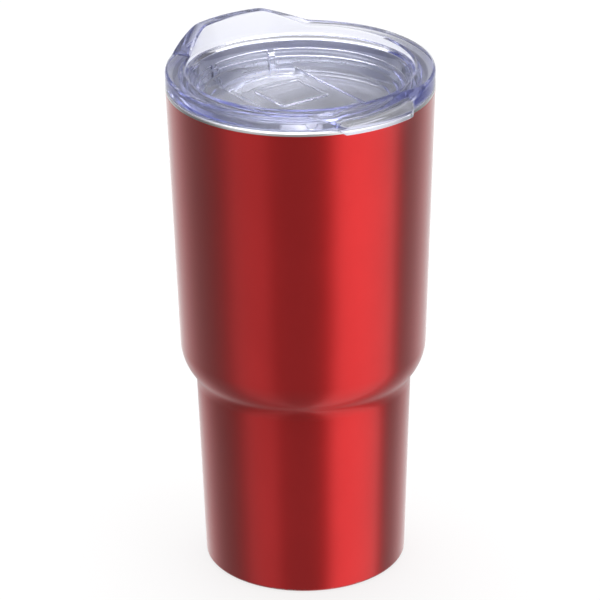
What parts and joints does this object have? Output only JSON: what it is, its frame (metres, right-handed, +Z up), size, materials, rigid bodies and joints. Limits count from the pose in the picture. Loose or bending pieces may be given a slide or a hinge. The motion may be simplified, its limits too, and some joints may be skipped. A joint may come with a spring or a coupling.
{
  "type": "insulated tumbler with lid",
  "caption": "Double-wall vacuum tumbler, wide taper above a stepped waist, with a clear press-in lid, raised drinking lip, lift tab and sliding closure.",
  "frame": {"origin": "centre of the base, on the surface that the tumbler stands on", "axes": "+Z up along the tumbler's axis, +Y towards the lid's raised drinking lip, -Y towards its lift tab, symmetric about X = 0"},
  "size_m": [0.088, 0.09, 0.1812],
  "materials": {
    "coated_steel": "satin translucent red lacquer over brushed steel",
    "liner_steel": "polished lip, satin inside",
    "base_steel": "satin",
    "copper_foil": "bright copper foil",
    "sealing_glass": "fused bead",
    "getter_metal": "sintered",
    "clear_plastic": "polished clear plastic with a faint blue-violet tint in thick edges",
    "silicone": "translucent silicone"
  },
  "bodies": {
    "cup": {"outer_wall": "coated_steel", "liner_wall": "liner_steel", "liner_bottom": "liner_steel", "liner_foil": "copper_foil", "outer_base": "base_steel", "base_cover": "base_steel", "vacuum_plug": "sealing_glass", "getter": "getter_metal", "getter_clip": "base_steel"},
    "lid": {"lid_body": "clear_plastic", "lid_seal": "silicone"},
    "slider": {"slider_plate": "clear_plastic", "slider_seal": "silicone"}
  },
  "joints": [
    {"name": "lid_lift", "type": "slide", "parent": "cup", "child": "lid", "axis": [0, 0, 1], "range_m": [0, 0.03]},
    {"name": "slider_slide", "type": "slide", "parent": "lid", "child": "slider", "axis": [0, 1, 0], "range_m": [-0.0085, 0.0053]}
  ]
}
